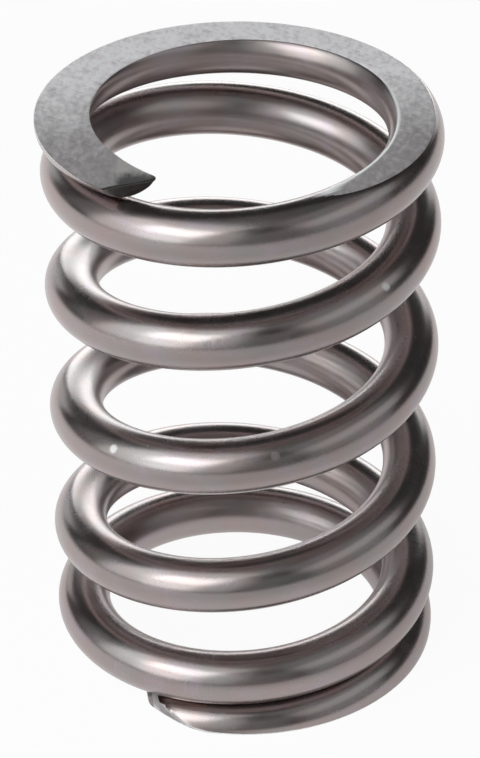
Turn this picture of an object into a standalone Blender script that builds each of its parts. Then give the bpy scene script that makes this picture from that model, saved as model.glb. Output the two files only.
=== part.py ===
"""Valve spring of an engine: one round wire coiled right-handed, with both ends closed and ground flat.

Metres, +Z up along the coil's axis, with the origin in the plane of the lower ground face, in the middle of
the spring's width and depth. The wire is followed from its upper tip down, so a place along it is a number of
turns below that tip.
"""
import math

import bmesh
import bpy
from mathutils import Vector

# The wire and the coil
WIRE_DIAMETER = 0.0044
FREE_LENGTH = 0.0496
TURNS = 5.992
TIP_AZIMUTH = math.radians(232.5)

# The coil's mean radius at its upper and lower end, and what the upper tip and one bow in each end turn add
UPPER_RADIUS = 0.01367
LOWER_RADIUS = 0.01394
TIP_SPREAD = 0.0004
TIP_SPREAD_TURNS = 0.6
UPPER_BOW = 0.0012
UPPER_BOW_AT = 0.875
UPPER_BOW_REACH = 0.26
LOWER_BOW = -0.00025
LOWER_BOW_AT = 5.435
LOWER_BOW_REACH = 0.43

# The climb for each turn: at the tip, on the flat end turn, after it, in the working turns, and closed
TIP_PITCH = 0.0083
FLAT_PITCH = 0.0001
ENTRY_PITCH = 0.0085
WORKING_PITCH = 0.0116
CLOSED_PITCH = WIRE_DIAMETER + 0.0001

# Where, in turns below the upper tip, each of those climbs begins or is reached
FLAT_FROM = 0.595
RISE_FROM = 0.66
RISE_TO = 0.87
WORKING_FROM = 2.075
FALL_FROM = 4.015
CLOSED_FROM = 5.245

# How far the upper tip's middle stands above the upper ground face, which leaves a tip of under half a wire
TIP_ABOVE_FACE = 0.00084

# The shear left each tip longer on its inner side, at this angle to a square cut, and each end runs back
# under its ground face at this slope. Both die away inside a short stretch of wire, given in turns
UPPER_SHEAR = math.radians(27)
LOWER_SHEAR = math.radians(42)
UNDERCUT_SLOPE = 0.45
SHEAR_STRETCH = 0.08

# Facets of the wire, and steps of the sum that turns pitch into height
SIDES = 20
STEPS_PER_TURN = 44
SUM_STEPS_PER_TURN = 100


def smooth(x):
    """Ease from 0 to 1 as x goes from 0 to 1."""
    x = min(max(x, 0.0), 1.0)
    return x * x * (3 - 2 * x)


def bow(x):
    """A hump of height 1 at x = 0 that has died away at x = -1 and x = 1."""
    return (1 - x * x) ** 2 if abs(x) < 1 else 0.0


def blend(turn, start, end):
    return smooth((turn - start) / (end - start))


def pitch_at(turn):
    """The climb for each turn, at a place along the wire."""
    pitch = TIP_PITCH
    pitch += (FLAT_PITCH - TIP_PITCH) * blend(turn, 0, FLAT_FROM)
    pitch += (ENTRY_PITCH - FLAT_PITCH) * blend(turn, RISE_FROM, RISE_TO)
    pitch += (WORKING_PITCH - ENTRY_PITCH) * blend(turn, RISE_TO, WORKING_FROM)
    pitch += (CLOSED_PITCH - WORKING_PITCH) * blend(turn, FALL_FROM, CLOSED_FROM)
    return pitch


def drop_at(turn):
    """How far the wire's middle has come down from the upper tip."""
    steps = max(1, math.ceil(turn * SUM_STEPS_PER_TURN))
    width = turn / steps
    return sum(pitch_at((k + 0.5) * width) for k in range(steps)) * width


def radius_at(turn):
    """The coil's mean radius, at a place along the wire."""
    radius = UPPER_RADIUS + (LOWER_RADIUS - UPPER_RADIUS) * turn / TURNS
    radius += TIP_SPREAD * smooth(1 - turn / TIP_SPREAD_TURNS)
    radius += UPPER_BOW * bow((turn - UPPER_BOW_AT) / UPPER_BOW_REACH)
    radius += LOWER_BOW * bow((turn - LOWER_BOW_AT) / LOWER_BOW_REACH)
    return radius


def middle_at(turn):
    """The point on the wire's middle line."""
    azimuth = TIP_AZIMUTH - 2 * math.pi * turn
    radius = radius_at(turn)
    height = FREE_LENGTH + TIP_ABOVE_FACE - drop_at(turn)
    return Vector((radius * math.cos(azimuth), radius * math.sin(azimuth), height))


def section_at(turn):
    """One ring of points round the wire, slanted as the shear left it near either tip."""
    step = 0.25 / STEPS_PER_TURN
    middle = middle_at(turn)
    along = (middle_at(turn + step) - middle_at(max(turn - step, 0))).normalized()
    azimuth = TIP_AZIMUTH - 2 * math.pi * turn
    outward = Vector((math.cos(azimuth), math.sin(azimuth), 0))
    outward = (outward - outward.dot(along) * along).normalized()
    upward = outward.cross(along)
    if upward.z < 0:
        upward.negate()
    near_upper = smooth(1 - turn / SHEAR_STRETCH)
    near_lower = smooth(1 - (TURNS - turn) / SHEAR_STRETCH)
    lean = math.tan(UPPER_SHEAR) * near_upper - math.tan(LOWER_SHEAR) * near_lower
    points = []
    for k in range(SIDES):
        angle = 2 * math.pi * (k + 0.5) / SIDES
        out = WIRE_DIAMETER / 2 * math.cos(angle)
        up = WIRE_DIAMETER / 2 * math.sin(angle)
        under_upper = near_upper * (FREE_LENGTH - middle.z - up)
        over_lower = near_lower * (middle.z + up)
        slide = out * lean + UNDERCUT_SLOPE * (under_upper - over_lower)
        points.append(middle + out * outward + up * upward + slide * along)
    return points


def centre_over_origin(mesh):
    """The bows in the end turns are uneven, so the coil moves by a hair to stand midway about the origin."""
    across = [vert.co.x for vert in mesh.verts]
    deep = [vert.co.y for vert in mesh.verts]
    middle = Vector((min(across) + max(across), min(deep) + max(deep), 0)) / 2
    bmesh.ops.translate(mesh, vec=-middle, verts=mesh.verts)


def coil_wire():
    """The whole wire as a closed tube, before its ends are ground."""
    mesh = bmesh.new()
    stations = round(TURNS * STEPS_PER_TURN)
    rings = []
    for k in range(stations + 1):
        rings.append([mesh.verts.new(point) for point in section_at(TURNS * k / stations)])
    for ring, following in zip(rings, rings[1:]):
        for k in range(SIDES):
            after = (k + 1) % SIDES
            mesh.faces.new((ring[k], ring[after], following[after], following[k]))
    mesh.faces.new(rings[0])
    mesh.faces.new(rings[-1])
    centre_over_origin(mesh)
    bmesh.ops.recalc_face_normals(mesh, faces=mesh.faces)
    data = bpy.data.meshes.new("valve_spring")
    mesh.to_mesh(data)
    mesh.free()
    spring = bpy.data.objects.new("valve_spring", data)
    bpy.context.scene.collection.objects.link(spring)
    return spring


def add_grinding_slab(name, low, high):
    """A block that stands for all that the grinding wheels take away between two heights."""
    mesh = bmesh.new()
    bmesh.ops.create_cube(mesh, size=1)
    side = 3 * (LOWER_RADIUS + WIRE_DIAMETER)
    for vert in mesh.verts:
        vert.co = Vector((vert.co.x * side, vert.co.y * side, low if vert.co.z < 0 else high))
    data = bpy.data.meshes.new(name)
    mesh.to_mesh(data)
    mesh.free()
    slab = bpy.data.objects.new(name, data)
    slab.hide_render = True
    slab.display_type = "WIRE"
    bpy.context.scene.collection.objects.link(slab)
    return slab


def grind(spring, slab):
    cut = spring.modifiers.new("grind_" + slab.name, "BOOLEAN")
    cut.operation = "DIFFERENCE"
    cut.solver = "EXACT"
    cut.object = slab


def drawn_steel():
    """Dark, oil-tempered spring steel, faintly brown."""
    material = bpy.data.materials.new("spring_steel")
    material.use_nodes = True
    shader = material.node_tree.nodes["Principled BSDF"]
    shader.inputs["Base Color"].default_value = (0.23, 0.21, 0.20, 1)
    shader.inputs["Metallic"].default_value = 1.0
    shader.inputs["Roughness"].default_value = 0.3
    return material


def build():
    for old in list(bpy.data.objects):
        bpy.data.objects.remove(old)
    spring = coil_wire()
    margin = 2 * WIRE_DIAMETER
    grind(spring, add_grinding_slab("upper_slab", FREE_LENGTH, FREE_LENGTH + margin))
    grind(spring, add_grinding_slab("lower_slab", -margin, 0))
    spring.data.materials.append(drawn_steel())
    spring.data.shade_smooth()
    spring.data.set_sharp_from_angle(angle=math.radians(40))


build()
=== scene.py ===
# An engine valve spring in a small daylight studio: one coiled wire, ground flat at both ends.
# Everything is in metres, +Z up. The wire is followed from its upper tip down, in turns below that tip.
import math

import bpy
from mathutils import Matrix, Vector


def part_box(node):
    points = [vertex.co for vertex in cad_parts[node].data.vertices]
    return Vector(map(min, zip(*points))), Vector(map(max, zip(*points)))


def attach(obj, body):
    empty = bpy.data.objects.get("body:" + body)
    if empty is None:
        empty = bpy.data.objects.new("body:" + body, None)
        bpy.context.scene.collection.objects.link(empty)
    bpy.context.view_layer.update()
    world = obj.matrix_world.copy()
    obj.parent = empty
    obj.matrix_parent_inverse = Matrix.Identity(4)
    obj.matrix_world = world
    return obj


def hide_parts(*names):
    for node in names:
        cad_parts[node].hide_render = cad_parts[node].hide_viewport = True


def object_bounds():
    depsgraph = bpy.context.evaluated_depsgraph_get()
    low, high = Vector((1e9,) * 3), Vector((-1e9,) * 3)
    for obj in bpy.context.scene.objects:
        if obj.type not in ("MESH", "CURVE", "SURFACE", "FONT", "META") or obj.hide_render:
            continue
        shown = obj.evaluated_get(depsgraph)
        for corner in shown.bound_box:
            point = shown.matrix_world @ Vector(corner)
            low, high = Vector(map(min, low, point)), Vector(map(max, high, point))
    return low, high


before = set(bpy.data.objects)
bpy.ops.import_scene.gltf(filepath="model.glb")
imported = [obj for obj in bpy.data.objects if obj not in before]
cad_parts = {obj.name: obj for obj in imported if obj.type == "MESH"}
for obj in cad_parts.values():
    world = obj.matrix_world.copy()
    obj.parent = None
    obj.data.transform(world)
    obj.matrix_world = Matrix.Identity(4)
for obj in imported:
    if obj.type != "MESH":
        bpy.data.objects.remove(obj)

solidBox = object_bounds()
print("frame loaded, box", solidBox)


class Term:
    # one socket that takes part in sums; without a socket it stands for its node tree
    def __init__(self, tree, socket=None):
        self.tree = tree
        self.socket = socket

    def node(self, kind, settings=None, values=None, output=0):
        made = self.tree.nodes.new(kind)
        for name, setting in (settings or {}).items():
            setattr(made, name, setting)
        for name, value in (values or {}).items():
            if isinstance(value, Term):
                self.tree.links.new(value.socket, made.inputs[name])
            else:
                made.inputs[name].default_value = value
        return Term(self.tree, made.outputs[output]) if made.outputs else None

    def out(self, name):
        return Term(self.tree, self.socket.node.outputs[name])

    def math(self, operation, *others):
        terms = [self, *others]
        return self.node("ShaderNodeMath", {"operation": operation}, dict(enumerate(terms)))

    def __add__(self, other):
        return self.math("ADD", other)

    def __sub__(self, other):
        return self.math("SUBTRACT", other)

    def __mul__(self, other):
        return self.math("MULTIPLY", other)

    def __truediv__(self, other):
        return self.math("DIVIDE", other)

    def __pow__(self, other):
        return self.math("POWER", other)

    def __neg__(self):
        return self.math("MULTIPLY", -1)

    def __rsub__(self, other):
        return self.node("ShaderNodeMath", {"operation": "SUBTRACT"}, {0: other, 1: self})

    __radd__ = __add__
    __rmul__ = __mul__

    def atLeast(self, other):
        return self.math("MAXIMUM", other)

    def atMost(self, other):
        return self.math("MINIMUM", other)

    def clamped(self):
        return self.atLeast(0).atMost(1)

    def eased(self, start=0, end=1):
        x = ((self - start) / (end - start)).clamped()
        return x * x * (3 - 2 * x)


# The wire: sizes in metres, places along it in turns below the upper tip, angles in radians
springWire = {
    "wire diameter": 0.0044,
    "free length": 0.0496,
    "turns": 5.992,
    "tip azimuth": math.radians(232.5),
    "upper radius": 0.01367,
    "lower radius": 0.01394,
    "tip spread": 0.0004,
    "tip spread turns": 0.6,
    "upper bow": 0.0012,
    "upper bow at": 0.875,
    "upper bow reach": 0.26,
    "lower bow": -0.00025,
    "lower bow at": 5.435,
    "lower bow reach": 0.43,
    "tip pitch": 0.0083,
    "flat pitch": 0.0001,
    "entry pitch": 0.0085,
    "working pitch": 0.0116,
    "closed pitch": 0.0045,
    "flat from": 0.595,
    "rise from": 0.66,
    "rise to": 0.87,
    "working from": 2.075,
    "fall from": 4.015,
    "closed from": 5.245,
    "tip above face": 0.00084,
    "upper shear": math.radians(27),
    "lower shear": math.radians(42),
    "shear stretch": 0.08,
    "edge round": 0.00023,      # of the ground faces' edges
    "upper end round": 0.0003,  # of the sheared ends' edges
    "lower end round": 0.0005,
    "upper undercut": 0.35,     # how far a sheared end runs back under its ground face, for each metre down
    "lower undercut": 0.2,
    "nose round": 0.0005,       # how far the long corner of a sheared end is worn back
    "nose round from": 0.0013,  # and from how far inward on the section
    "heel wear": 0.0015,        # how far the lower ground face rises at its tip, worn thin
    "heel length": 0.006,
    "facet from": 0.0019,       # how far down the wire's middle the upper tip's facet begins
    "facet skew": 1.0,          # how much further down it begins for each metre inward
    "facet fall": 0.05,         # and its slope below the ground face
}
wireFacets = {
    "faceSteps": 16,    # across a ground face, and across the same stretch of the bare wire
    "flankSteps": 22,   # down each flank
    "lengthSteps": 900,
    "endSteps": 10,     # from the middle of a sheared end to its rim
    "narrowSpan": math.radians(8),  # half the angle that the face's steps keep where the face runs out
    "plainDepth": 2.2,              # how many half wires away a face is where the steps are even again
    "facetTurns": 0.25,             # the stretch of wire that the upper tip's facet can reach
    "mergeDistance": 1e-6,
}


def easedSum(turn, start, end):
    # what a pitch that eases in by 1 between start and end has added to the drop at this turn
    x = ((turn - start) / (end - start)).clamped()
    return (end - start) * (x ** 3 - x ** 4 / 2) + (turn - end).atLeast(0)


def softLower(a, b, size):
    # the lower of two heights, with the corner between them rounded off
    near = (size - (a - b).math("ABSOLUTE")).atLeast(0)
    return a.atMost(b) - near * near / (4 * size)


def hump(turn, at, reach):
    x = ((turn - at) / reach).math("ABSOLUTE").atMost(1)
    return (1 - x * x) ** 2


def cosineEase(x):
    return (1 - (x * math.pi).math("COSINE")) / 2


def coilTree(sizes, facets, materials):
    tree = bpy.data.node_groups.new("coiled wire", "GeometryNodeTree")
    tree.interface.new_socket("Geometry", in_out="OUTPUT", socket_type="NodeSocketGeometry")
    for name, value in sizes.items():
        tree.interface.new_socket(name, in_out="INPUT", socket_type="NodeSocketFloat").default_value = value
    graph = Term(tree)
    first = graph.node("NodeGroupInput")
    size = {name: first.out(name) for name in sizes}

    faceSteps, flankSteps = facets["faceSteps"], facets["flankSteps"]
    around = 2 * (faceSteps + flankSteps)
    lengthSteps, endSteps = facets["lengthSteps"], facets["endSteps"]
    columns = lengthSteps + 2 * endSteps
    grid = graph.node("GeometryNodeMeshGrid", {}, {
        "Size X": columns, "Size Y": around, "Vertices X": columns + 1, "Vertices Y": around + 1})
    place = graph.node("ShaderNodeSeparateXYZ", {}, {0: graph.node("GeometryNodeInputPosition")})
    column = place + columns / 2
    row = place.out("Y") + around / 2

    # along the wire: how far down, how far out, how steep
    turn = ((column - endSteps) / lengthSteps).clamped() * size["turns"]
    upperEnd = (column / endSteps).clamped()
    lowerEnd = ((columns - column) / endSteps).clamped()
    flat, tip, entry = size["flat pitch"], size["tip pitch"], size["entry pitch"]
    working, closed = size["working pitch"], size["closed pitch"]
    drop = (tip * turn + (flat - tip) * easedSum(turn, 0, size["flat from"])
            + (entry - flat) * easedSum(turn, size["rise from"], size["rise to"])
            + (working - entry) * easedSum(turn, size["rise to"], size["working from"])
            + (closed - working) * easedSum(turn, size["fall from"], size["closed from"]))
    pitch = (tip + (flat - tip) * turn.eased(0, size["flat from"])
             + (entry - flat) * turn.eased(size["rise from"], size["rise to"])
             + (working - entry) * turn.eased(size["rise to"], size["working from"])
             + (closed - working) * turn.eased(size["fall from"], size["closed from"]))
    radius = (size["upper radius"] + (size["lower radius"] - size["upper radius"]) * turn / size["turns"]
              + size["tip spread"] * (1 - turn / size["tip spread turns"]).eased()
              + size["upper bow"] * hump(turn, size["upper bow at"], size["upper bow reach"])
              + size["lower bow"] * hump(turn, size["lower bow at"], size["lower bow reach"]))
    azimuth = size["tip azimuth"] - 2 * math.pi * turn
    middle = size["free length"] + size["tip above face"] - drop
    slope = (pitch / (2 * math.pi * radius)).math("ARCTANGENT")
    rise, lie = slope.math("COSINE"), slope.math("SINE")

    # where the two ground faces cut the section, as heights in it, and half the angle each one spans
    half = size["wire diameter"] / 2
    ceiling = (size["free length"] - middle) / rise
    fromLowerTip = 2 * math.pi * radius * (size["turns"] - turn)
    heel = (1 - fromLowerTip / size["heel length"]).clamped()
    ground = (size["heel wear"] * heel * heel - middle) / rise

    narrowSpan = facets["narrowSpan"]
    plainSpan = math.pi * faceSteps / around

    def spanned(depth):
        cut = (depth / half).atMost(1).math("ARCCOSINE")
        away = (depth / half).eased(1, facets["plainDepth"])
        return cut.atLeast(narrowSpan + (plainSpan - narrowSpan) * away)

    top = spanned(ceiling)
    bottom = spanned(-ground)
    flank = math.pi - top - bottom
    angle = (math.pi / 2 - top + 2 * top * cosineEase((row / faceSteps).clamped())
             + flank * cosineEase(((row - faceSteps) / flankSteps).clamped())
             + 2 * bottom * cosineEase(((row - faceSteps - flankSteps) / faceSteps).clamped())
             + flank * cosineEase(((row - 2 * faceSteps - flankSteps) / flankSteps).clamped()))

    # the section itself: outward and upward from the wire's middle
    outward = half * angle.math("COSINE")
    bare = half * angle.math("SINE")
    nearUpper = (1 - turn / size["shear stretch"]).eased()
    nearLower = (1 - (size["turns"] - turn) / size["shear stretch"]).eased()
    lean = nearUpper * size["upper shear"].math("TANGENT") - nearLower * size["lower shear"].math("TANGENT")
    downWire = 2 * math.pi * turn * radius + outward * lean
    facet = (size["facet from"] - size["facet skew"] * outward - downWire).atLeast(0)
    facet = facet * turn.math("LESS_THAN", facets["facetTurns"])
    ceiling = ceiling - facet * size["facet fall"]
    edge = size["edge round"]
    upward = -softLower(-softLower(bare, ceiling, edge), -ground, edge)
    groundAway = ((bare - ceiling) / edge + 0.5).clamped() + ((ground - bare) / edge + 0.5).clamped()

    # an end's face is its rim drawn in to the middle of what the grinding left
    core = (ceiling.atMost(half) + ground.atLeast(-half)) / 2
    rim = (upperEnd.atMost(lowerEnd) * math.pi / 2).math("SINE")
    outward = outward * rim
    upward = core + (upward - core) * rim
    lowerRound = size["lower end round"]
    endRound = lowerRound + (size["upper end round"] - lowerRound) * turn.math("LESS_THAN", 1)
    roundFrom = 1 - endRound / half
    overEdge = ((rim - roundFrom) / (1 - roundFrom)).clamped()
    bulge = endRound * (1 - overEdge * overEdge).math("SQRT")
    worn = (-outward - size["nose round from"]).atLeast(0) / (half - size["nose round from"])
    worn = size["nose round"] * worn * worn
    below = (ceiling.atMost(half) - upward) * nearUpper
    above = (upward - ground.atLeast(-half)) * nearLower
    slide = (outward * lean + worn * (nearUpper - nearLower)
             + size["upper undercut"] * below - size["lower undercut"] * above
             + bulge * (lowerEnd.math("LESS_THAN", 1) - upperEnd.math("LESS_THAN", 1)))

    alongWire = 2 * math.pi * turn * radius + slide
    slide = slide + upward * lie
    outward = radius + outward
    east = outward * azimuth.math("COSINE") + slide * azimuth.math("SINE")
    north = outward * azimuth.math("SINE") - slide * azimuth.math("COSINE")
    position = graph.node("ShaderNodeCombineXYZ", {}, {0: east, 1: north, 2: middle + upward * rise})

    # what the finishes follow: the wire laid straight, and where it is ground or sheared
    straight = graph.node("ShaderNodeCombineXYZ", {}, {
        0: alongWire, 1: half * angle.math("COSINE"), 2: bare})
    # it is stored before the grid is bent, while rows and columns are still its places
    kept = {
        "straightWire": ("FLOAT_VECTOR", straight),
        "groundAway": ("FLOAT", groundAway),
        "sheared": ("FLOAT", 1 - rim),
    }
    coil = grid
    for name, (kind, value) in kept.items():
        coil = graph.node("GeometryNodeStoreNamedAttribute", {"data_type": kind, "domain": "POINT"},
                          {"Geometry": coil, "Name": name, "Value": value})
    coil = graph.node("GeometryNodeSetPosition", {}, {"Geometry": coil, "Position": position})
    coil = graph.node("GeometryNodeMergeByDistance", {}, {
        "Geometry": coil, "Distance": facets["mergeDistance"]})
    coil = graph.node("GeometryNodeSetShadeSmooth", {}, {0: coil})
    coil = graph.node("GeometryNodeRealizeInstances", {}, {0: coil})
    drawn, groundSteel, shearedSteel = materials
    isGround = graph.node("GeometryNodeInputNamedAttribute", {"data_type": "FLOAT"}, {"Name": "groundAway"})
    isSheared = graph.node("GeometryNodeInputNamedAttribute", {"data_type": "FLOAT"}, {"Name": "sheared"})
    coil = graph.node("GeometryNodeSetMaterial", {}, {"Geometry": coil, "Material": drawn})
    coil = graph.node("GeometryNodeSetMaterial", {}, {
        "Geometry": coil, "Selection": isGround.math("GREATER_THAN", 0.5), "Material": groundSteel})
    coil = graph.node("GeometryNodeSetMaterial", {}, {
        "Geometry": coil, "Selection": isSheared.math("GREATER_THAN", 0.0), "Material": shearedSteel})
    graph.node("NodeGroupOutput", {}, {"Geometry": coil})
    return tree


def makeSpring(sizes, facets, materials):
    tree = coilTree(sizes, facets, materials)
    carrier = bpy.data.objects.new("springMaker", bpy.data.meshes.new("springMaker"))
    bpy.context.scene.collection.objects.link(carrier)
    modifier = carrier.modifiers.new("coiled wire", "NODES")
    modifier.node_group = tree
    for item in tree.interface.items_tree:
        if item.in_out == "INPUT":
            modifier[item.identifier] = sizes[item.name]
    evaluated = carrier.evaluated_get(bpy.context.evaluated_depsgraph_get())
    mesh = bpy.data.meshes.new_from_object(evaluated)
    carrier.modifiers.remove(modifier)
    bpy.data.objects.remove(carrier)
    mesh.materials.pop(index=0)  # the empty slot of the bare grid
    low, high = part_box("valve_spring")
    points = [vert.co for vert in mesh.vertices]
    for axis in (0, 1):  # the coil stands midway over the origin, as the solid does
        own = (min(p[axis] for p in points) + max(p[axis] for p in points)) / 2
        step = Vector((0, 0, 0))
        step[axis] = (low[axis] + high[axis]) / 2 - own
        mesh.transform(Matrix.Translation(step))
    spring = bpy.data.objects.new("coiledWire", mesh)
    bpy.context.scene.collection.objects.link(spring)
    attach(spring, "root")
    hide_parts("valve_spring")
    triangles = sum(len(face.vertices) - 2 for face in mesh.polygons)
    print("spring made:", len(mesh.vertices), "points,", triangles, "triangles")


def newMaterial(name):
    material = bpy.data.materials.new(name)
    material.use_nodes = True
    material.node_tree.nodes.clear()
    return material, Term(material.node_tree)


def principled(graph, values):
    shader = graph.node("ShaderNodeBsdfPrincipled", {}, values)
    graph.node("ShaderNodeOutputMaterial", {}, {"Surface": shader})


def straightPlace(graph):
    # a place on the wire laid straight: along it, outward and up
    return graph.node("ShaderNodeAttribute", {"attribute_name": "straightWire"}).out("Vector")


def ownPlace(graph):
    return graph.node("ShaderNodeTexCoord").out("Object")


def parts(graph, vector):
    return graph.node("ShaderNodeSeparateXYZ", {}, {0: vector})


def wirePattern(graph, length, width, detail=3.0, seed=0.0):
    # noise in marks of this length along the wire and this width across it
    place = straightPlace(graph)
    squeezed = graph.node("ShaderNodeVectorMath", {"operation": "MULTIPLY_ADD"},
                          {0: place, 1: (1 / length, 1 / width, 1 / width), 2: (seed, seed, seed)})
    return graph.node("ShaderNodeTexNoise", {"noise_dimensions": "3D"},
                      {"Vector": squeezed, "Scale": 1.0, "Detail": detail, "Roughness": 0.55})


def spacePattern(graph, sizes, detail=3.0, turn=0.0):
    # noise in marks of these sizes along X, Y and Z
    place = ownPlace(graph)
    squeezed = graph.node("ShaderNodeMapping", {"vector_type": "TEXTURE"},
                          {"Vector": place, "Rotation": (0, 0, turn), "Scale": sizes})
    return graph.node("ShaderNodeTexNoise", {"noise_dimensions": "3D"},
                      {"Vector": squeezed, "Scale": 1.0, "Detail": detail, "Roughness": 0.6})


def mixed(graph, share, first, second):
    return graph.node("ShaderNodeMix", {"data_type": "RGBA"}, {0: share, 6: first, 7: second}, output=2)


def dimmed(graph, colour, share):
    # a colour made darker where share is below 1
    level = graph.node("ShaderNodeCombineColor", {}, {0: share, 1: share, 2: share})
    return graph.node("ShaderNodeMix", {"data_type": "RGBA", "blend_type": "MULTIPLY"},
                      {0: 1.0, 6: colour, 7: level}, output=2)


# A painted highlight on the upper end's ground-face edges, standing for the lamps' glint on the rounded edge:
# on the outer edge at the front left and on the inner edge at the right, each given by a direction and how
# far along it the painted highlight fades in
edgeGlintLook = {
    "colour": (0.97, 0.94, 0.93, 1),
    "metallic": 0.15,
    "roughness": 0.4,
    "above": 0.04,  # the height below which there is none
    "outer": ((-0.75, -0.66), (0.0105, 0.014)),
    "inner": ((0.94, -0.34), (0.0088, 0.0106)),
}


def edgeGlintShare(graph, look):
    # 1 on the painted edge highlight, 0 on the face and on the bare wire
    away = graph.node("ShaderNodeAttribute", {"attribute_name": "groundAway"}, {}, "Fac")
    out = parts(graph, straightPlace(graph)).out("Y")
    spot = parts(graph, ownPlace(graph))
    reach = {}
    for side in ("outer", "inner"):
        (east, north), (start, end) = look[side]
        reach[side] = (east * spot + north * spot.out("Y")).eased(start, end)
    isOuter = out.math("GREATER_THAN", 0)
    isHigh = spot.out("Z").math("GREATER_THAN", look["above"])
    where = (reach["outer"] * isOuter + reach["inner"] * (1 - isOuter)) * isHigh
    return (4 * away * (1 - away)).clamped() * where


# Oil-tempered drawn wire: dark, in brown, grey and mauve, with drawing lines along it, faint chatter across
# it and a few bright spots that are partly scuffs and partly painted glints
drawnLook = {
    "brown": (0.412, 0.336, 0.323, 1),
    "grey": (0.388, 0.348, 0.34, 1),
    "mauve": (0.408, 0.342, 0.36, 1),
    # the white of the scuffs, partly a painted glint
    "scuffAndGlintWhite": (0.95, 0.9, 0.9, 1),
    "greyWhere": (0.36, 0.64),  # the noise at which grey begins and is reached, and the same for mauve
    "mauveWhere": (0.5, 0.68),
    "brightness": 0.9,
    "shading": {"lines": 0.02, "bloom": 0.18, "chatter": 0.2},
    "roughness": 0.26,
    "roughening": {"smear": 0.08, "bloom": 0.14, "lines": 0.02, "chatter": 0.2, "scuffAndGlint": 0.35},
    "innerRoughness": 0.07,     # more on the coil's inner side, this far in from the wire's middle
    "innerReach": 0.0022,
    "cloudSize": 0.0035,
    "mauveSize": 0.0016,
    "mauveStretch": 1.5,        # along the wire
    "lineLength": 0.012,
    "lineWidth": 0.00022,
    "lineDepth": 0.0000003,
    "smearLength": 0.006,
    "smearWidth": 0.0012,
    "chatterPitch": 0.00028,
    "chatterWidth": 0.004,
    "chatterRelief": 1.4,       # as deep as this many lines
    "chatterPatch": 0.009,
    "patchWhere": (0.54, 0.7),
    "patchStrength": 0.3,
    "chatterPlaces": ((0.1671, 0.0018, 0.0012), (0.4309, 0.0021, 0.0003), (0.4365, 0.0021, 0.0002)),
    "chatterReach": (0.003, 0.0011),
    "chatterFull": 0.3,         # the share of that reach where it is at its strongest
    "scuffAndGlintSize": 0.00042,
    "scuffAndGlintFull": 0.35,
    "scuffAndGlintRagged": 1.5,
    "scuffAndGlintDullness": 0.85,      # how much less metallic a scuff and painted glint is
    "scuffsAndGlints": (                 # each by its place on the straight wire and its strength
        (0.15263, 0.00172, 0.00137, 0.95),
        (0.26115, 0.00166, 0.00145, 1.0),
        (0.24874, 0.00166, 0.00142, 0.15),
    ),
    "seeds": {"smear": 3.7, "bloom": 7.9, "chatter": 9.1, "patches": 5.3},
}


def drawnSteel(look):
    material, graph = newMaterial("drawnSteel")
    seeds, patch, bloomSize = look["seeds"], look["chatterPatch"], look["mauveSize"]
    lines = wirePattern(graph, look["lineLength"], look["lineWidth"], 4.0)
    smear = wirePattern(graph, look["smearLength"], look["smearWidth"], 3.0, seeds["smear"])
    cloud = spacePattern(graph, (look["cloudSize"],) * 3, 2.0)
    bloom = wirePattern(graph, look["mauveStretch"] * bloomSize, bloomSize, 3.0, seeds["bloom"])
    chatter = wirePattern(graph, look["chatterPitch"], look["chatterWidth"], 1.0, seeds["chatter"])
    patches = wirePattern(graph, patch, patch / 3, 1.0, seeds["patches"])
    place = straightPlace(graph)
    hatched = look["patchStrength"] * patches.eased(*look["patchWhere"])
    long, wide = look["chatterReach"]
    for along, out, up in look["chatterPlaces"]:
        away = graph.node("ShaderNodeVectorMath", {"operation": "MULTIPLY_ADD"}, {
            0: place, 1: (1 / long, 1 / wide, 1 / wide), 2: (-along / long, -out / wide, -up / wide)})
        away = graph.node("ShaderNodeVectorMath", {"operation": "LENGTH"}, {0: away}, "Value")
        hatched = hatched.atLeast(1 - away.eased(look["chatterFull"], 1))
    chatter = (chatter - 0.5) * hatched
    scuffAndGlint, scuffAndGlintSize = None, look["scuffAndGlintSize"]
    ragged = (bloom - 0.5) * look["scuffAndGlintRagged"] * scuffAndGlintSize
    for along, out, up, strength in look["scuffsAndGlints"]:
        away = graph.node("ShaderNodeVectorMath", {"operation": "DISTANCE"},
                          {0: place, 1: (along, out, up)}, "Value")
        mark = strength * (1 - (away + ragged).eased(look["scuffAndGlintFull"] * scuffAndGlintSize, scuffAndGlintSize))
        scuffAndGlint = mark if scuffAndGlint is None else scuffAndGlint.atLeast(mark)
    edgeGlint = edgeGlintShare(graph, edgeGlintLook)
    inner = (-parts(graph, place).out("Y")).eased(0, look["innerReach"])

    shading = look["shading"]
    colour = mixed(graph, cloud.eased(*look["greyWhere"]), look["brown"], look["grey"])
    colour = mixed(graph, bloom.eased(*look["mauveWhere"]), colour, look["mauve"])
    colour = dimmed(graph, colour, look["brightness"] + shading["lines"] * lines + shading["bloom"] * bloom
                    + shading["chatter"] * chatter)
    # the scuffs, their whiteness partly a painted glint
    colour = mixed(graph, scuffAndGlint, colour, look["scuffAndGlintWhite"])
    # the painted edge highlight
    colour = mixed(graph, edgeGlint, colour, edgeGlintLook["colour"])
    roughening = look["roughening"]
    roughness = (look["roughness"] + roughening["smear"] * (smear - 0.5) + roughening["bloom"] * (bloom - 0.5)
                 + roughening["lines"] * (lines - 0.5) + look["innerRoughness"] * inner
                 + roughening["chatter"] * chatter + roughening["scuffAndGlint"] * scuffAndGlint
                 + (edgeGlintLook["roughness"] - look["roughness"]) * edgeGlint)
    height = (lines + look["chatterRelief"] * chatter) * look["lineDepth"]
    relief = graph.node("ShaderNodeBump", {}, {"Strength": 1.0, "Distance": 1.0, "Height": height})
    metallic = 1 - ((1 - edgeGlintLook["metallic"]) * edgeGlint).atLeast(look["scuffAndGlintDullness"] * scuffAndGlint)
    principled(graph, {"Base Color": colour, "Metallic": metallic, "Roughness": roughness, "Normal": relief})
    return material
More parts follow.
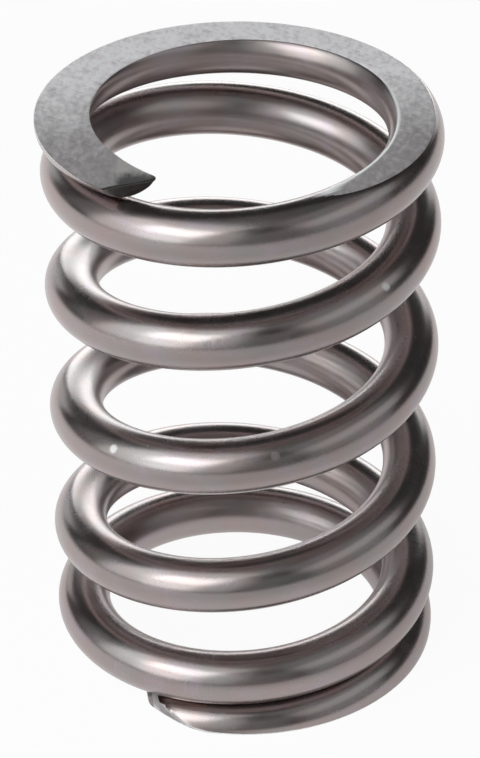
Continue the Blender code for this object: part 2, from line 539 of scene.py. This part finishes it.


# The ground faces: matt and mottled, the upper one with painted light making it paler toward the back and the
# lower one painted pale all over, with the wheel's faint scratches and a facet on the upper tip painted
# darker as painted shade
groundLook = {
    # painted light and shade: the face's pale tone at the back and below, and its dark tone at the front
    "paintedLitPale": (1.0, 0.93, 0.945, 1),
    "paintedShadeDark": (0.395, 0.352, 0.36, 1),
    "darkUntil": -0.008,   # the places along Y where the painted shade is darkest and the painted light palest
    "paleFrom": 0.009,
    "paleSkew": 0.05,      # how much further back they are for each metre to the right
    "paleBelow": 0.01,     # the height below which it is painted pale all over
    "paleRagged": 0.4,
    "mottling": {"blotch": 0.4, "grain": 0.8, "scratch": 0.45},
    "mottlingMost": 1.15,  # so that the palest spots keep their colour
    # painted shade on the facet: pale away from the sheared end, dark near it
    "facetPaintedLight": (0.62, 0.575, 0.555, 1),
    "facetPaintedShade": (0.1, 0.088, 0.087, 1),
    "metallic": 0.05,
    "facetMetallic": 0.4,  # more on the facet
    "roughness": 0.6,
    "grainRoughness": 0.3,
    "grainSize": 0.00045,
    "blotchSize": 0.0016,
    "stretch": 1.7,        # of both along Y
    "scratchLength": 0.005,
    "scratchWidth": 0.00016,
    "scratchTurn": math.radians(-35),
    "grainDepth": 0.00002,
    "scratchDepth": 0.000003,
    "facetBlend": 0.0011,
    "facetRagged": (0.0012, 0.0008),  # how far blotches and grain shift its edge
    "facetShade": 0.0021,             # how far from the sheared end the facet's painted shade stays dark
    "facetFade": (0.15, 1.1),         # the shares of that distance where it begins to pale and has done so
    "edgeGlintOffFacet": 0.7,              # how much weaker the painted edge highlight is on the facet
}


def groundSteel(look, wire):
    material, graph = newMaterial("groundSteel")
    grainSize, blotchSize, stretch = look["grainSize"], look["blotchSize"], look["stretch"]
    grain = spacePattern(graph, (grainSize, stretch * grainSize, grainSize), 3.0)
    blotch = spacePattern(graph, (blotchSize, stretch * blotchSize, blotchSize), 3.0)
    scratch = spacePattern(graph, (look["scratchLength"], look["scratchWidth"], look["scratchLength"]), 2.0,
                           look["scratchTurn"])
    place = parts(graph, straightPlace(graph))
    spot = parts(graph, ownPlace(graph))
    byBlotch, byGrain = look["facetRagged"]
    uneven = byBlotch * (blotch - 0.5) + byGrain * (grain - 0.5)
    inFacet = wire["facet from"] - wire["facet skew"] * place.out("Y") - place + uneven
    inFacet = inFacet.eased(0, look["facetBlend"])
    fromEnd = place - math.tan(wire["upper shear"]) * place.out("Y")
    # painted light: paler toward the back, and pale all over on the lower face
    paintedLightToBack = (spot.out("Y") - look["paleSkew"] * spot).eased(look["darkUntil"], look["paleFrom"])
    paintedLightToBack = paintedLightToBack.atLeast(spot.out("Z").math("LESS_THAN", look["paleBelow"]))
    share = (paintedLightToBack + look["paleRagged"] * (blotch - 0.5) + look["paleRagged"] * (grain - 0.5)).clamped()
    edgeGlint = edgeGlintShare(graph, edgeGlintLook)
    mottling = look["mottling"]
    mottle = (1 + mottling["blotch"] * (blotch - 0.5) + mottling["grain"] * (grain - 0.5)
              + mottling["scratch"] * (scratch - 0.5)).atMost(look["mottlingMost"])
    colour = dimmed(graph, mixed(graph, share, look["paintedShadeDark"], look["paintedLitPale"]), mottle)
    # the facet's painted shade, darkest near the sheared end
    shade = look["facetShade"]
    fadeStart, fadeEnd = look["facetFade"]
    facet = mixed(graph, (fromEnd + 2 * uneven).eased(fadeStart * shade, fadeEnd * shade),
                  look["facetPaintedShade"], look["facetPaintedLight"])
    colour = mixed(graph, inFacet, colour, facet)
    # the painted edge highlight, weaker on the facet
    colour = mixed(graph, edgeGlint * (1 - look["edgeGlintOffFacet"] * inFacet), colour, edgeGlintLook["colour"])
    metallic = (look["metallic"] + look["facetMetallic"] * inFacet * (1 - edgeGlint)
                + (edgeGlintLook["metallic"] - look["metallic"]) * edgeGlint)
    roughness = (look["roughness"] + look["grainRoughness"] * (grain - 0.5)
                 + (edgeGlintLook["roughness"] - look["roughness"]) * edgeGlint)
    height = grain * look["grainDepth"] + scratch * look["scratchDepth"]
    relief = graph.node("ShaderNodeBump", {}, {"Strength": 1.0, "Distance": 1.0, "Height": height})
    principled(graph, {"Base Color": colour, "Metallic": metallic, "Roughness": roughness, "Normal": relief})
    return material


# The sheared ends: torn, the upper one painted dark as painted shade and the lower one painted bright as a
# painted highlight
shearedLook = {
    "upper": (0.16, 0.15, 0.145, 1),
    "lower": (0.72, 0.7, 0.69, 1),
    "roughness": 0.5,
    "tearSize": 0.0004,
    "tearStretch": 4,
    "tearDepth": 0.00003,
    "darkest": 0.7,
    "tearShade": 0.6,
    "tearRoughness": 0.3,
}


def shearedSteel(look):
    material, graph = newMaterial("shearedSteel")
    size = look["tearSize"]
    tear = spacePattern(graph, (size, size, look["tearStretch"] * size), 3.0)
    height = parts(graph, ownPlace(graph)).out("Z")
    # painted shade on the upper end and a painted highlight on the lower end, chosen by height
    colour = mixed(graph, height.math("GREATER_THAN", solidBox[1].z / 2), look["lower"], look["upper"])
    colour = dimmed(graph, colour, look["darkest"] + look["tearShade"] * tear)
    roughness = look["roughness"] + look["tearRoughness"] * (tear - 0.5)
    relief = graph.node("ShaderNodeBump", {}, {
        "Strength": 1.0, "Distance": look["tearDepth"], "Height": tear})
    principled(graph, {"Base Color": colour, "Metallic": 1.0, "Roughness": roughness, "Normal": relief})
    return material


studioFloor = {
    "radius": 1.5,
    "height": -0.00005,
    "colour": (0.86, 0.86, 0.86, 1),
    "whiteInView": 0.95,              # how much of it the camera sees as plain white
    # and how much of it the metal sees so, near and far: on average, more to the right, and more to the back
    "whiteNear": (0.7, -0.12, 0.02),
    "whiteFar": (0.63, -0.16, 0.36),
    "near": 0.015,
    "far": 0.05,
}


def makeFloor(look):
    bpy.ops.mesh.primitive_circle_add(vertices=96, radius=look["radius"], fill_type="NGON",
                                      location=(0, 0, look["height"]))
    floor = bpy.context.object
    floor.name = "studioFloor"
    material, graph = newMaterial("paleFloor")
    rays = graph.node("ShaderNodeLightPath")
    spot = graph.node("ShaderNodeVectorMath", {"operation": "MULTIPLY"}, {
        0: ownPlace(graph), 1: (1, 1, 0)})
    away = graph.node("ShaderNodeVectorMath", {"operation": "LENGTH"}, {0: spot}, "Value")
    toward = graph.node("ShaderNodeVectorMath", {"operation": "NORMALIZE"}, {0: spot})
    toward = parts(graph, toward)
    near, far = (mean + right * toward + back * toward.out("Y")
                 for mean, right, back in (look["whiteNear"], look["whiteFar"]))
    inReflection = near + (far - near) * away.eased(look["near"], look["far"])
    share = rays.out("Is Camera Ray") * look["whiteInView"] + rays.out("Is Glossy Ray") * inReflection
    matt = graph.node("ShaderNodeBsdfDiffuse", {}, {"Color": look["colour"]})
    white = graph.node("ShaderNodeEmission", {}, {"Color": (1, 1, 1, 1), "Strength": 1.0})
    both = graph.node("ShaderNodeMixShader", {}, {"Fac": share, 1: matt, 2: white})
    graph.node("ShaderNodeOutputMaterial", {}, {"Surface": both})
    floor.data.materials.append(material)
    print("floor made")


# Soft boxes: where each one stands and how large it looks from the spring, in degrees, and its brightness
softBoxes = {
    "keyBox": {"azimuth": -140, "elevation": 40, "wide": 30, "high": 26, "radiance": 3.3},
    "keySide": {"azimuth": -170, "elevation": 40, "wide": 28, "high": 30, "radiance": 1.3},
    "keyTop": {"azimuth": -152, "elevation": 64, "wide": 50, "high": 20, "radiance": 0.95},
    "keyFront": {"azimuth": -112, "elevation": 26, "wide": 24, "high": 44, "radiance": 0.63},
    "lowFront": {"azimuth": -140, "elevation": 14, "wide": 30, "high": 22, "radiance": 2.1},
    "lowSide": {"azimuth": -170, "elevation": 14, "wide": 28, "high": 22, "radiance": 1.15},
    "leftSide": {"azimuth": 164, "elevation": 26, "wide": 28, "high": 34, "radiance": 0.17},
    "backBox": {"azimuth": 88, "elevation": 9, "wide": 42, "high": 20, "radiance": 2.85},
    "backRight": {"azimuth": 60, "elevation": 10, "wide": 16, "high": 20, "radiance": 1.2},
    "backLeft": {"azimuth": 124, "elevation": 8, "wide": 20, "high": 16, "radiance": 0.8},
    "fillBox": {"azimuth": -29, "elevation": 38, "wide": 56, "high": 26, "radiance": 0.63},
    "fillLow": {"azimuth": -34, "elevation": 13, "wide": 50, "high": 22, "radiance": 0.33},
    "fillTop": {"azimuth": -30, "elevation": 62, "wide": 50, "high": 20, "radiance": 0.25},
    "frontBox": {"azimuth": -84, "elevation": 20, "wide": 32, "high": 34, "radiance": 0.18},
    "topBox": {"azimuth": 0, "elevation": 90, "wide": 44, "high": 44, "radiance": 0.1},
}
boxDistance = 0.6
boxColour = (0.93, 0.995, 1.0)  # cool daylight
studioWorld = {"level": 0.035}  # the camera itself sees it as plain white


def makeLights(boxes, world):
    centre = (solidBox[0] + solidBox[1]) / 2
    for name, box in boxes.items():
        azimuth, elevation = math.radians(box["azimuth"]), math.radians(box["elevation"])
        aside = Vector((math.cos(azimuth) * math.cos(elevation), math.sin(azimuth) * math.cos(elevation),
                        math.sin(elevation)))
        light = bpy.data.lights.new(name, "AREA")
        light.shape = "RECTANGLE"
        light.size = 2 * boxDistance * math.tan(math.radians(box["wide"] / 2))
        light.size_y = 2 * boxDistance * math.tan(math.radians(box["high"] / 2))
        light.energy = box["radiance"] * math.pi * light.size * light.size_y
        light.color = boxColour
        lamp = bpy.data.objects.new(name, light)
        lamp.location = centre + aside * boxDistance
        lamp.rotation_euler = aside.to_track_quat("Z", "Y").to_euler()
        lamp.visible_camera = False  # other views look past it
        bpy.context.scene.collection.objects.link(lamp)
    sky = bpy.data.worlds.new("studioWorld")
    bpy.context.scene.world = sky
    sky.use_nodes = True
    sky.node_tree.nodes.clear()
    graph = Term(sky.node_tree)
    seen = graph.node("ShaderNodeLightPath").out("Is Camera Ray")
    level = world["level"] + (1 - world["level"]) * seen
    back = graph.node("ShaderNodeBackground", {}, {"Color": (1, 1, 1, 1), "Strength": level})
    graph.node("ShaderNodeOutputWorld", {}, {"Surface": back})
    print("lights made:", ", ".join(boxes))


# The photograph's view: the camera looks along +Y and down, a little rolled
photoView = {
    "lens": 157.0,
    "distance": 0.27266,
    "elevation": math.radians(32.944),
    "roll": math.radians(-0.606),
    "aim": (-0.0002, 0.00051, 0.02448),
}


def makeCamera(view):
    camera = bpy.data.cameras.new("photoCamera")
    camera.lens = view["lens"]
    camera.clip_start = 0.01
    photographer = bpy.data.objects.new("photoCamera", camera)
    back = Vector((0, -math.cos(view["elevation"]), math.sin(view["elevation"])))
    up = Vector((0, math.sin(view["elevation"]), math.cos(view["elevation"])))
    right = Vector((1, 0, 0))
    cosine, sine = math.cos(view["roll"]), math.sin(view["roll"])
    axes = (cosine * right + sine * up, -sine * right + cosine * up, back)
    turned = Matrix([[axis[k] for axis in axes] for k in range(3)]).to_4x4()
    photographer.matrix_world = Matrix.Translation(Vector(view["aim"]) + back * view["distance"]) @ turned
    bpy.context.scene.collection.objects.link(photographer)
    bpy.context.scene.camera = photographer
    print("camera placed")


finishes = drawnSteel(drawnLook), groundSteel(groundLook, springWire), shearedSteel(shearedLook)
makeSpring(springWire, wireFacets, finishes)
makeFloor(studioFloor)
makeLights(softBoxes, studioWorld)
makeCamera(photoView)
bpy.context.scene.view_settings.view_transform = "Standard"
